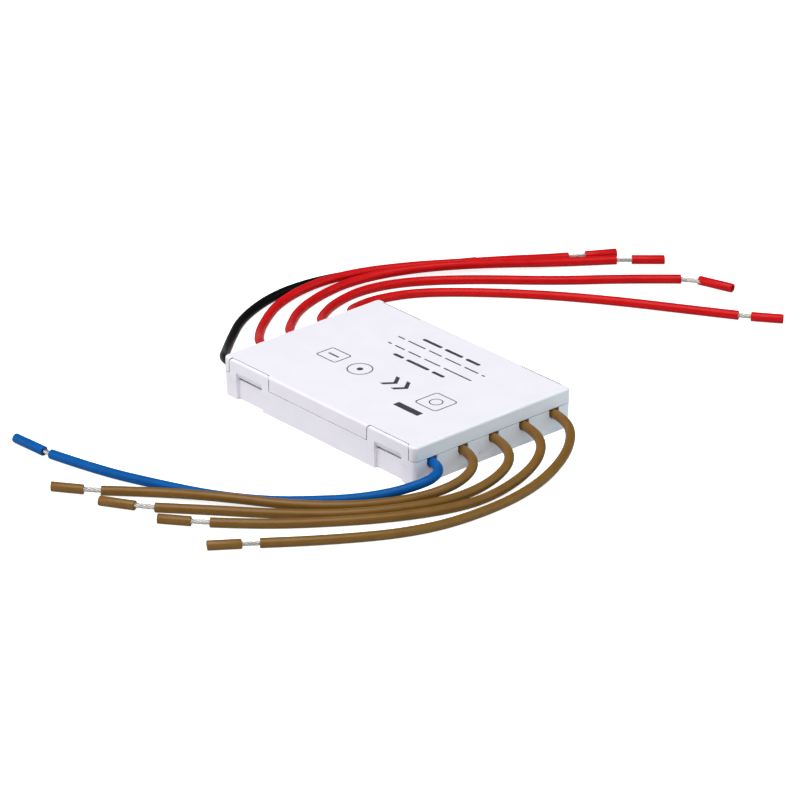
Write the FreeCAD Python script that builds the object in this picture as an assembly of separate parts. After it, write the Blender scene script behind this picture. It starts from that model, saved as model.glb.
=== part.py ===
import FreeCAD, Part
import math
import os
from FreeCAD import Vector

# Switch decoupler module: a flat two-part snap case with five flying leads at each end.
# Inside lies a circuit board with four isolated channels.
# Frame: millimetres, origin at the centre of the underside, +Z up.
# +X is the mains end (blue and four brown leads), -X the output end (black and four red leads).

os.makedirs("parts", exist_ok=True)

# Case
case_length = 51.0
case_width = 37.0
case_height = 7.6
parting_height = 4.8
parting_gap = 0.08
corner_radius = 0.9
top_edge_radius = 0.45
base_draft = 0.12
wall = 1.4
floor = 1.0
roof = 1.1

# Snap tabs on the long sides: they rise from the base through recesses in the cover
tab_from_end = 7.0
tab_width = 10.7
tab_lip = 0.5
tab_corner_radius = 0.8
tab_gap = 0.16
tab_shoulder_drop = 0.05

# Release pocket in each tab, with the window that the cover's hook reaches into
pocket_width = 7.0
pocket_depth = 0.72
pocket_top = 5.35
window_top = 4.12
window_height = 0.35

# Hooks of the cover, drawn pressed in, with the barb just clear of the tab's inner face
hook_side_gap = 0.4
hook_thickness = 0.9
barb_reach = 0.55
barb_gap = 0.1
barb_drop = 0.9

# Guide ribs of the cover, behind the long walls of the base
rib_length = 17.0
rib_thickness = 0.8
rib_depth = 1.2
rib_gap = 0.1

# Wire slots in the end walls
wire_margin = 4.1
slot_width = 2.35
slot_bottom = 2.85

# Gate mark of the moulding: a small blind hole in the mains end, between two of the slots
gate_mark_radius = 0.18
gate_mark_depth = 0.2
gate_mark_y = -3.25
gate_mark_height = 1.8

# Leads: flexible, so drawn with a polygon section whose corners lie on the real diameter
wire_diameter = 1.75
wire_sides = 8
wire_exit_height = 3.82
wire_entry = 0.5
strand_diameter = 0.9
strand_sides = 6
strand_seat = 2.0
tail_seat = 1.1
slug_clearance = 0.05
slug_end_cover = 0.4
arc_share = 0.45
bend_share = 0.9

# Circuit board and what holds it
board_end_gap = 0.7
board_hook_gap = 0.25
board_thickness = 1.0
board_corner = 0.6
rest_from_end = 9.5
rest_size = 2.4
press_rib_length = 2.4
press_rib_width = 0.8
press_gap = 0.1
peg_inset = 1.4
peg_radius = 0.75
peg_clearance = 0.1
peg_rise = 0.7
slot_in_board_width = 1.0
slot_to_peg = 0.55

# Solder over the strands, which lie on pads at the ends of the board
pad_inset = 1.4
solder_length = 1.7
solder_width = 1.7
solder_ridge = 0.8
solder_cover = 0.15

# Parts on the board, one row for each channel
opto_length = 6.5
opto_width = 4.6
opto_height = 2.2
opto_stand = 0.15
opto_chamfer = 0.3
opto_lead_width = 0.6
opto_lead_thickness = 0.25
opto_lead_pitch = 2.54
opto_lead_reach = 1.5
series_size = (5.0, 2.5, 0.65)
series_places = (12.9, 19.1)
diode_size = (4.2, 2.6, 2.1)
diode_x = 7.6
diode_chamfer = 0.4
capacitor_size = (3.2, 2.5, 1.7)
capacitor_x = -8.0
output_size = (3.2, 1.6, 0.6)
output_places = (-15.6, -12.0)
output_offset = 2.0
chip_edge = 0.08

# Values that follow from the sizes above
wire_radius = wire_diameter / 2
strand_radius = strand_diameter / 2
base_rim = parting_height - parting_gap
inner_length = case_length - 2 * wall
inner_width = case_width - 2 * wall
inner_corner = max(corner_radius - wall / 2, 0.3)
roof_underside = case_height - roof
strand_rest = strand_radius * math.cos(math.pi / strand_sides)
board_top = wire_exit_height - strand_rest
board_length = inner_length - 2 * board_end_gap
board_side_gap = barb_gap + barb_reach + hook_thickness + board_hook_gap
board_width = inner_width - 2 * board_side_gap
pad_x = board_length / 2 - pad_inset
peg_y = board_width / 2 - peg_inset
slot_in_board_length = 2 * (peg_y - peg_radius - peg_clearance - slot_to_peg)
rest_x = case_length / 2 - rest_from_end
tab_centre = case_length / 2 - tab_from_end
wire_start = inner_length / 2 - wire_entry
wire_pitch = (case_width - 2 * wire_margin) / 4
row_pitch = wire_pitch
board_height = board_top - board_thickness
half_width = case_width / 2
overcut = 1.0


def box(x0, x1, y0, y1, z0, z1):
    """Box between two corners."""
    return Part.makeBox(x1 - x0, y1 - y0, z1 - z0, Vector(x0, y0, z0))


def block(x, y, length, width, z0, z1):
    """Upright block centred on a spot."""
    return box(x - length / 2, x + length / 2, y - width / 2, y + width / 2, z0, z1)


def post(x, y, z0, z1, radius):
    """Upright round post."""
    return Part.makeCylinder(radius, z1 - z0, Vector(x, y, z0))


def rounded_rectangle(length, width, radius, z):
    """Closed outline with round corners, centred on the Z axis."""
    hx = length / 2
    hy = width / 2
    edges = []
    corners = ((1, 1, 0), (-1, 1, 90), (-1, -1, 180), (1, -1, 270))
    for sx, sy, start in corners:
        centre = Vector(sx * (hx - radius), sy * (hy - radius), z)
        edges.append(Part.makeCircle(radius, centre, Vector(0, 0, 1), start, start + 90))
    outline = []
    for i, arc in enumerate(edges):
        following = edges[(i + 1) % len(edges)]
        outline.append(arc)
        outline.append(Part.makeLine(arc.valueAt(arc.LastParameter),
                                     following.valueAt(following.FirstParameter)))
    return Part.Wire(outline)


def slab(length, width, radius, z0, z1):
    """Upright block with round corners."""
    outline = rounded_rectangle(length, width, radius, z0)
    return Part.Face(outline).extrude(Vector(0, 0, z1 - z0))


def polygon(points):
    """Flat face through the given points."""
    return Part.Face(Part.makePolygon(points + points[:1]))


def fused(first, others):
    """One solid made of several."""
    return first.fuse(others).removeSplitter()


def both_sides(solid):
    """A solid and its mirror images in X and in Y: four in all."""
    across = solid.mirror(Vector(0, 0, 0), Vector(1, 0, 0))
    pair = [solid, across]
    return pair + [s.mirror(Vector(0, 0, 0), Vector(0, 1, 0)) for s in pair]


def write(name, shapes):
    """Write one node: a single solid, or a group of separate ones."""
    shape = shapes if not isinstance(shapes, list) else Part.makeCompound(shapes)
    for solid in shape.Solids:
        if not solid.isValid():
            print("not valid:", name)
    shape.exportStep("parts/" + name + ".step")


# Case base

def tab_front(gap, y0, y1, z0):
    """Block whose front view is a tab with round upper corners, grown by a gap all round."""
    half = tab_width / 2 + gap
    radius = tab_corner_radius + gap
    top = case_height + gap
    left = tab_centre - half
    right = tab_centre + half
    bend = radius * (1 - math.sqrt(0.5))
    outline = [
        Part.makeLine(Vector(left, y0, z0), Vector(left, y0, top - radius)),
        Part.Arc(Vector(left, y0, top - radius), Vector(left + bend, y0, top - bend),
                 Vector(left + radius, y0, top)).toShape(),
        Part.makeLine(Vector(left + radius, y0, top), Vector(right - radius, y0, top)),
        Part.Arc(Vector(right - radius, y0, top), Vector(right - bend, y0, top - bend),
                 Vector(right, y0, top - radius)).toShape(),
        Part.makeLine(Vector(right, y0, top - radius), Vector(right, y0, z0)),
        Part.makeLine(Vector(right, y0, z0), Vector(left, y0, z0)),
    ]
    return Part.Face(Part.Wire(outline)).extrude(Vector(0, y1 - y0, 0))


def tab():
    """Snap tab at +X, -Y: a lip that is flush with the cover, on a thicker shoulder."""
    outer = -half_width
    foot = parting_height - wall
    shoulder = roof_underside - tab_shoulder_drop
    bend = top_edge_radius * (1 - math.sqrt(0.5))
    x0 = tab_centre - tab_width / 2
    profile = [
        Part.makeLine(Vector(x0, outer, foot), Vector(x0, outer, case_height - top_edge_radius)),
        Part.Arc(Vector(x0, outer, case_height - top_edge_radius),
                 Vector(x0, outer + bend, case_height - bend),
                 Vector(x0, outer + top_edge_radius, case_height)).toShape(),
        Part.makeLine(Vector(x0, outer + top_edge_radius, case_height),
                      Vector(x0, outer + tab_lip, case_height)),
        Part.makeLine(Vector(x0, outer + tab_lip, case_height), Vector(x0, outer + tab_lip, shoulder)),
        Part.makeLine(Vector(x0, outer + tab_lip, shoulder), Vector(x0, outer + wall, shoulder)),
        Part.makeLine(Vector(x0, outer + wall, shoulder), Vector(x0, outer + wall, foot)),
        Part.makeLine(Vector(x0, outer + wall, foot), Vector(x0, outer, foot)),
    ]
    body = Part.Face(Part.Wire(profile)).extrude(Vector(tab_width, 0, 0))
    return body.common(tab_front(0, outer, outer + wall, foot))


def release_pocket():
    """Pocket for a screwdriver tip, open at the bottom, with its window at the inner top."""
    outer = -half_width
    slope = (pocket_top - window_top) / pocket_depth
    x0 = tab_centre - pocket_width / 2
    points = [
        Vector(x0, outer - overcut, -overcut),
        Vector(x0, outer - overcut, pocket_top + slope * overcut),
        Vector(x0, outer + pocket_depth, window_top),
        Vector(x0, outer + pocket_depth, -overcut),
    ]
    recess = polygon(points).extrude(Vector(pocket_width, 0, 0))
    window = box(x0, x0 + pocket_width, outer + pocket_depth / 2, outer + wall + overcut,
                 window_top - window_height, window_top)
    return fused(recess, [window])


def wire_slot(side, y):
    """Round-bottomed slot through an end wall, open at the top."""
    radius = slot_width / 2
    depth = wall + overcut + wall / 2
    x0 = side * (case_length / 2 + overcut)
    along = Vector(-side * depth, 0, 0)
    centre = Vector(x0, y, slot_bottom + radius)
    round_part = Part.makeCylinder(radius, depth, centre, Vector(-side, 0, 0))
    points = [
        Vector(x0, y - radius, centre.z),
        Vector(x0, y + radius, centre.z),
        Vector(x0, y + radius, parting_height + overcut),
        Vector(x0, y - radius, parting_height + overcut),
    ]
    return fused(round_part, [polygon(points).extrude(along)])


def wire_places():
    """The five places across an end wall, from -Y to +Y."""
    return [wire_pitch * i for i in (-2, -1, 0, 1, 2)]


def gate_mark():
    """Small blind hole in the mains end, as deep as its size from the drafted face."""
    face = case_length / 2 - base_draft * (1 - gate_mark_height / base_rim)
    start = Vector(face - gate_mark_depth, gate_mark_y, gate_mark_height)
    return Part.makeCylinder(gate_mark_radius, wall, start, Vector(1, 0, 0))


def rest_spots():
    """Where the board is held between the base and the cover."""
    return [(sx * rest_x, sy * wire_pitch) for sx in (-1, 1) for sy in (-1, 1)]


def base_shell():
    foot = rounded_rectangle(case_length - 2 * base_draft, case_width - 2 * base_draft,
                             corner_radius, 0)
    rim = rounded_rectangle(case_length, case_width, corner_radius, base_rim)
    outside = Part.makeLoft([foot, rim], True, True)
    inside = slab(inner_length, inner_width, inner_corner, floor, case_height)
    shell = outside.cut(inside)
    shell = fused(shell, both_sides(tab()))
    cuts = both_sides(release_pocket())
    for side in (-1, 1):
        cuts += [wire_slot(side, y) for y in wire_places()]
    cuts.append(gate_mark())
    shell = shell.cut(cuts)
    sunk = floor / 2
    holders = [block(x, y, rest_size, rest_size, sunk, board_height) for x, y in rest_spots()]
    for sy in (-1, 1):
        holders.append(block(0, sy * peg_y, rest_size, rest_size, sunk, board_height))
        holders.append(post(0, sy * peg_y, sunk, board_top + peg_rise, peg_radius))
    return fused(shell, holders)


# Cover

def hook():
    """Snap hook at +X, -Y: an arm under the roof with a barb that points outwards."""
    tip = -half_width + wall + barb_gap
    face = tip + barb_reach
    catch = window_top - barb_gap
    x0 = tab_centre - pocket_width / 2 + hook_side_gap
    points = [
        Vector(x0, face, roof_underside + roof / 2),
        Vector(x0, face, catch),
        Vector(x0, tip, catch),
        Vector(x0, tip, catch - window_height / 2),
        Vector(x0, face, catch - barb_drop),
        Vector(x0, face + hook_thickness, catch - barb_drop),
        Vector(x0, face + hook_thickness, roof_underside + roof / 2),
    ]
    return polygon(points).extrude(Vector(pocket_width - 2 * hook_side_gap, 0, 0))


def tab_recess():
    """Room for a tab in the cover's roof edge and skirt, at +X, -Y."""
    outer = -half_width
    lip_room = tab_front(tab_gap, outer - overcut, outer + tab_lip + tab_gap,
                         parting_height - overcut)
    half = tab_width / 2 + tab_gap
    skirt_room = box(tab_centre - half, tab_centre + half, outer - overcut, outer + wall + tab_gap,
                     parting_height - overcut, roof_underside)
    return fused(lip_room, [skirt_room])


def cover():
    lid = slab(case_length, case_width, corner_radius, parting_height, case_height)
    rim_edges = [e for e in lid.Edges
                 if min(v.Z for v in e.Vertexes) > case_height - top_edge_radius / 2]
    lid = lid.makeFillet(top_edge_radius, rim_edges)
    inside = slab(inner_length, inner_width, inner_corner, parting_height - overcut, roof_underside)
    shell = lid.cut([inside] + both_sides(tab_recess()))
    ribs = []
    outer = -half_width + wall + rib_gap
    rib = box(-rib_length / 2, rib_length / 2, outer, outer + rib_thickness,
              parting_height - rib_depth, roof_underside + roof / 2)
    ribs.append(rib)
    ribs.append(rib.mirror(Vector(0, 0, 0), Vector(0, 1, 0)))
    presses = [block(x, y, press_rib_length, press_rib_width, board_top + press_gap,
                     roof_underside + roof / 2) for x, y in rest_spots()]
    return fused(shell, both_sides(hook()) + ribs + presses)


# Circuit board

def circuit_board():
    board = slab(board_length, board_width, board_corner, board_height, board_top)
    z0 = board_height - overcut
    z1 = board_top + overcut
    cuts = [post(0, side * peg_y, z0, z1, peg_radius + peg_clearance) for side in (-1, 1)]
    cuts.append(block(0, 0, slot_in_board_width, slot_in_board_length, z0, z1))
    return board.cut(cuts)


def tail_ends(side, y):
    """Where the strand begins in the insulation and where it ends on its pad."""
    begin = Vector(side * (wire_start + tail_seat), y, wire_exit_height)
    end = Vector(side * (pad_x - solder_length / 2 + solder_cover), y, wire_exit_height)
    return begin, end


def solder_joints():
    """A ridge of solder on each pad, with the strand lying in it."""
    joints = []
    top = wire_exit_height + strand_rest + solder_cover
    foot = solder_width / 2
    ridge = solder_ridge / 2
    for side in (-1, 1):
        x0 = side * pad_x - solder_length / 2
        for y in wire_places():
            outline = [(y - foot, board_top), (y + foot, board_top), (y + ridge, top),
                       (y - ridge, top)]
            face = polygon([Vector(x0, across, z) for across, z in outline])
            begin, end = tail_ends(side, y)
            joint = face.extrude(Vector(solder_length, 0, 0))
            joints.append(joint.cut(prism(begin, end, strand_radius, strand_sides)))
    return joints


# Parts on the board

def row_places():
    """The four channel rows, from -Y to +Y."""
    return [row_pitch * (i - 1.5) for i in range(4)]


def bevelled(body, chamfer):
    """A block with its upper edges bevelled."""
    middle = body.CenterOfMass.z
    upper = [e for e in body.Edges if min(v.Z for v in e.Vertexes) > middle]
    return body.makeChamfer(chamfer, upper)


def chip(size, x, y, chamfer):
    """Small moulded body on the board, with its upper edges bevelled."""
    length, width, height = size
    return bevelled(block(x, y, length, width, board_top, board_top + height), chamfer)


def optocoupler(y):
    z0 = board_top + opto_stand
    return bevelled(block(0, y, opto_length, opto_width, z0, z0 + opto_height), opto_chamfer)


def optocoupler_leads():
    """Four bent leads for each optocoupler, from mid height down to the board."""
    leads = []
    t = opto_lead_thickness
    x0 = opto_length / 2
    high = board_top + opto_stand + opto_height / 2
    knee = x0 + opto_lead_reach / 2
    far = x0 + opto_lead_reach
    for y in row_places():
        for sy in (-1, 1):
            y0 = y + sy * opto_lead_pitch / 2 - opto_lead_width / 2
            outline = [(x0, high), (knee, high), (knee, board_top + t), (far, board_top + t),
                       (far, board_top), (knee - t, board_top), (knee - t, high - t),
                       (x0, high - t)]
            face = polygon([Vector(x, y0, z) for x, z in outline])
            lead = face.extrude(Vector(0, opto_lead_width, 0))
            leads.append(lead)
            leads.append(lead.mirror(Vector(0, 0, 0), Vector(1, 0, 0)))
    return leads


def series_resistors():
    """Two flat resistors in line on the mains side of each row."""
    return [chip(series_size, x, y, chip_edge) for y in row_places() for x in series_places]


def output_resistors():
    """Two flat resistors side by side on the output side of each row."""
    placed = zip(output_places, (-1, 1))
    spots = [(x, step * output_offset / 2) for x, step in placed]
    return [chip(output_size, x, y + shift, chip_edge) for y in row_places() for x, shift in spots]


# Wires

def corner_reaches(points):
    """How far from each inner point its arc begins: a share of the shorter run beside it."""
    reaches = []
    for i in range(1, len(points) - 1):
        before = (points[i] - points[i - 1]).Length
        after = (points[i + 1] - points[i]).Length
        reaches.append(arc_share * min(before, after))
    return reaches


def turn_at(points, i):
    """Angle by which the route turns at a point, in radians."""
    return (points[i] - points[i - 1]).getAngle(points[i + 1] - points[i])


def section(centre, direction, radius, sides):
    """Regular outline square to a direction, with two corners level with its centre."""
    across = direction.cross(Vector(0, 0, 1)).normalize()
    upright = across.cross(direction).normalize()
    corners = []
    for i in range(sides):
        angle = 2 * math.pi * i / sides
        shift = across * (radius * math.cos(angle)) + upright * (radius * math.sin(angle))
        corners.append(centre + shift)
    return Part.makePolygon(corners + corners[:1])


def prism(begin, end, radius, sides):
    """Straight bar of polygon section."""
    return Part.Face(section(begin, end - begin, radius, sides)).extrude(end - begin)


def bar(points, radius, sides, reaches):
    """Bar of polygon section along straight runs joined by tangent arcs."""
    profile = section(points[0], points[1] - points[0], radius, sides)
    faces = [Part.Face(profile)]
    start = points[0]
    for i in range(1, len(points) - 1):
        back = (points[i - 1] - points[i]).normalize()
        ahead = (points[i + 1] - points[i]).normalize()
        reach = reaches[i - 1]
        turn = turn_at(points, i)
        arc_radius = reach / math.tan(turn / 2)
        centre = points[i] + (back + ahead).normalize() * math.hypot(arc_radius, reach)
        axis = ahead.cross(back).normalize()
        run = points[i] + back * reach - start
        faces += profile.extrude(run).Faces
        profile = profile.translated(run)
        faces += profile.revolve(centre, axis, math.degrees(turn)).Faces
        profile = profile.rotated(centre, axis, math.degrees(turn))
        start = points[i] + ahead * reach
    run = points[-1] - start
    faces += profile.extrude(run).Faces
    faces.append(Part.Face(profile.translated(run)))
    shell = Part.makeShell(faces)
    shell.sewShape()
    solid = Part.makeSolid(shell)
    if solid.Volume < 0:
        solid.reverse()
    return solid


lay = wire_radius
exit_z = wire_exit_height

# Each lead: name, end wall, place across it, route after the wall, how far beyond the insulation
# its bare strand bends, the tip of the loose slug of insulation at its end and that slug's length.
# X is counted from the face of the end wall. The routes are chosen by hand, and the leads lie on
# whatever the module stands on.
leads = [
    ("blue_wire", 1, 0,
     [(0.7, -14.4, exit_z), (3.2, -15.6, 3.6), (4.0, -18.2, 3.1), (2.7, -21.5, 2.3),
      (0.4, -25.3, 1.4), (-2.8, -30.1, lay), (-6.3, -35.0, lay), (-11.5, -41.2, lay),
      (-19.8, -47.1, lay), (-29.7, -51.5, lay), (-40.2, -55.5, lay), (-50.7, -57.7, lay)],
     0.7, (-59.9, -58.4), 7.5),
    ("brown_wire_1", 1, 1,
     [(1.5, -7.2, exit_z), (5.7, -9.6, 3.3), (6.7, -14.8, 2.0), (4.5, -21.7, lay),
      (0.0, -31.1, lay), (-7.5, -39.9, 1.2), (-16.6, -47.3, 1.85), (-26.7, -53.0, lay),
      (-33.8, -60.0, lay)],
     1.5, (-40.8, -65.4), 5.8),
    ("brown_wire_2", 1, 2,
     [(1.7, 0.0, exit_z), (7.3, -2.4, 3.3), (9.4, -7.8, 2.0), (9.1, -15.4, lay),
      (6.7, -23.8, lay), (1.3, -34.2, lay), (-7.1, -43.4, lay), (-16.1, -51.2, lay),
      (-22.7, -57.2, lay)],
     1.6, (-31.0, -62.6), 6.4),
    ("brown_wire_3", 1, 3,
     [(1.9, 7.2, exit_z), (7.3, 5.0, 3.3), (10.7, -0.8, 2.0), (12.1, -9.6, lay),
      (11.8, -18.4, lay), (6.9, -30.0, lay), (-0.9, -41.6, lay), (-6.9, -48.8, lay),
      (-12.2, -53.8, lay)],
     1.5, (-19.2, -59.5), 5.8),
    ("brown_wire_4", 1, 4,
     [(1.9, 14.4, exit_z), (7.0, 12.2, 3.3), (11.2, 6.4, 2.0), (14.4, -3.0, lay),
      (15.9, -15.0, lay), (14.1, -29.2, lay), (5.9, -43.6, lay), (-0.8, -52.4, lay)],
     1.4, (-6.0, -59.6), 5.8),
    ("black_wire", -1, 0,
     [(-1.7, -14.4, exit_z), (-6.7, -13.1, 3.1), (-10.9, -8.9, 1.7), (-15.6, -3.9, lay),
      (-21.3, 3.4, lay), (-25.2, 13.6, lay), (-25.5, 22.6, lay), (-23.4, 31.0, lay),
      (-20.0, 39.3, lay), (-16.0, 46.1, lay)],
     1.6, (-11.8, 53.7), 6.2),
    ("red_wire_1", -1, 1,
     [(-1.7, -7.2, exit_z), (-6.9, -4.2, 3.3), (-11.1, -1.0, 2.0), (-16.7, 4.6, lay),
      (-22.1, 12.8, lay), (-23.7, 22.0, 1.3), (-21.9, 30.8, 1.8), (-17.3, 41.0, 1.8),
      (-10.5, 51.4, 1.8), (-6.8, 58.4, 1.5), (-4.2, 64.3, lay), (-1.7, 68.3, lay)],
     1.8, (3.0, 76.4), 6.1),
    ("red_wire_2", -1, 2,
     [(-1.7, 0.0, exit_z), (-7.1, 2.9, 3.3), (-11.7, 7.2, 1.8), (-17.3, 14.0, lay),
      (-19.9, 22.2, lay), (-19.9, 30.3, 1.3), (-15.4, 40.3, 2.15), (-8.2, 51.4, 2.3),
      (-1.3, 64.6, lay), (5.4, 74.1, lay)],
     1.4, (11.4, 81.0), 6.2),
    ("red_wire_3", -1, 3,
     [(-1.7, 7.2, exit_z), (-6.5, 10.2, 3.3), (-10.6, 13.7, 1.8), (-15.1, 20.8, lay),
      (-16.3, 28.6, lay), (-13.7, 37.4, lay), (-5.9, 47.8, lay), (4.9, 58.8, lay),
      (13.1, 69.4, lay), (20.0, 76.9, lay)],
     2.6, (29.4, 81.1), 7.0),
    ("red_wire_4", -1, 4,
     [(-1.7, 14.4, exit_z), (-6.5, 17.0, 3.3), (-9.7, 21.6, 1.8), (-11.3, 28.0, lay),
      (-8.7, 35.4, lay), (-1.5, 43.8, lay), (8.5, 53.0, lay), (19.5, 61.0, lay),
      (31.1, 68.2, lay), (38.8, 73.1, lay)],
     1.3, (45.5, 78.1), 6.0),
]


def report(name, points, reaches, body):
    """Print the arc radii, the length and how the solid's volume compares with it."""
    turns = [turn_at(points, i) for i in range(1, len(points) - 1)]
    radii = [reach / math.tan(turn / 2) for reach, turn in zip(reaches, turns)]
    runs = sum((b - a).Length for a, b in zip(points, points[1:]))
    length = runs - 2 * sum(reaches) + sum(r * turn for r, turn in zip(radii, turns))
    area = wire_sides / 2 * wire_radius ** 2 * math.sin(2 * math.pi / wire_sides)
    print(name, "length", round(length, 1), "volume / section x length",
          round(body.Volume / (area * length), 4), "arc radii", [round(r, 1) for r in radii])


def insulation(points, name):
    """The lead's insulation, with a seat for the strand in each end."""
    reaches = corner_reaches(points)
    body = bar(points, wire_radius, wire_sides, reaches)
    report(name, points, reaches, body)
    near = (points[1] - points[0]).normalize()
    far = (points[-2] - points[-1]).normalize()
    seats = [prism(points[0], points[0] + near * tail_seat, strand_radius, strand_sides),
             prism(points[-1], points[-1] + far * strand_seat, strand_radius, strand_sides)]
    return body.cut(seats)


def wire(name, side, place, route, bare_run, tip_xy, slug_length):
    """One lead: its insulation, its strand at both ends and the loose slug on the tip."""
    y = wire_places()[place]
    wall_face = Vector(side * case_length / 2, 0, 0)
    points = [Vector(side * wire_start, y, wire_exit_height)]
    points += [wall_face + Vector(*p) for p in route]
    last = (points[-1] - points[-2]).normalize()
    bend = points[-1] + last * bare_run
    tip = wall_face + Vector(*tip_xy, lay)
    axis = (tip - bend).normalize()
    slug_start = tip - axis * slug_length
    room = min(bare_run, (slug_start - bend).Length)
    hidden = points[-1] - last * strand_seat
    end = tip - axis * slug_end_cover
    tail = prism(*tail_ends(side, y), strand_radius, strand_sides)
    bare = bar([hidden, bend, end], strand_radius, strand_sides, [bend_share * room])
    slug = prism(slug_start, tip, wire_radius, wire_sides)
    bore = prism(slug_start - axis * overcut, tip + axis * overcut,
                 strand_radius + slug_clearance, strand_sides)
    write(name + "_insulation", insulation(points, name))
    write(name + "_strand", [tail, bare])
    write(name + "_end_slug", slug.cut(bore))
    print(name, "slug axis", [round(a, 5) for a in (axis.x, axis.y, axis.z)],
          "bare strand", round((slug_start - points[-1]).Length, 2))


write("base_shell", base_shell())
write("cover", cover())
write("circuit_board", circuit_board())
write("solder_joints", solder_joints())
for number, row in enumerate(row_places(), 1):
    write("optocoupler_" + str(number), optocoupler(row))
write("optocoupler_leads", optocoupler_leads())
write("series_resistors", series_resistors())
write("rectifier_diodes", [chip(diode_size, diode_x, y, diode_chamfer) for y in row_places()])
write("smoothing_capacitors",
      [chip(capacitor_size, capacitor_x, y, chip_edge) for y in row_places()])
write("output_resistors", output_resistors())
for lead in leads:
    wire(*lead)
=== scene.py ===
import math

import bmesh
import bpy
from mathutils import Matrix, Vector


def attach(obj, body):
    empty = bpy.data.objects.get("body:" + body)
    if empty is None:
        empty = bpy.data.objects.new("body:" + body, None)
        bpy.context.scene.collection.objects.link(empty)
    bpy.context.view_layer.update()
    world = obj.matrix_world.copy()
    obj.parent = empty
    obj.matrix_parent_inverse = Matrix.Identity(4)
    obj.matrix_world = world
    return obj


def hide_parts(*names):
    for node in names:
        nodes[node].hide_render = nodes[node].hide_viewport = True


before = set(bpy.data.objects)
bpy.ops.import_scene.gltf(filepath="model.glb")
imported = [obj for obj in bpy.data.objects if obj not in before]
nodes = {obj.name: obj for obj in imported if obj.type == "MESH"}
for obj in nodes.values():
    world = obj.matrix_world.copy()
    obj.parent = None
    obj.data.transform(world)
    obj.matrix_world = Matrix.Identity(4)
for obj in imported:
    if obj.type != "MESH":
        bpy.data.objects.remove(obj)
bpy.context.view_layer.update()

# Switch decoupler module: a flat white snap case, its circuit board and ten flexible leads.
# Sizes are in millimetres and become metres through mm().


def mm(value):
    """Millimetres to metres."""
    return value * 0.001


def spot(x, y, z):
    """A place given in millimetres."""
    return Vector((mm(x), mm(y), mm(z)))


# Driving sizes, the same as in the part's source: the case and its wires
case_length = 51.0
case_height = 7.6
wire_diameter = 1.75
wire_pitch = 7.2
wire_exit_height = 3.82
wire_start = 23.6

# Strands: how thick they are, how far they reach back into the insulation, one turn of their
# wires, how many wires go round the middle one, and where the tail on the board begins and ends
strand_diameter = 0.9
strand_seat = 2.0
strand_lay = 7.0
strand_wires = 6
tail_end = 21.3
tail_seat_end = 24.7

# Slugs: their bore, and how far they cover the strand's tip
slug_bore = 1.0
slug_end_cover = 0.4

# Heights in the routes: lying on the table, and level with the wire slots
lay = wire_diameter / 2
exit_z = wire_exit_height

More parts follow.
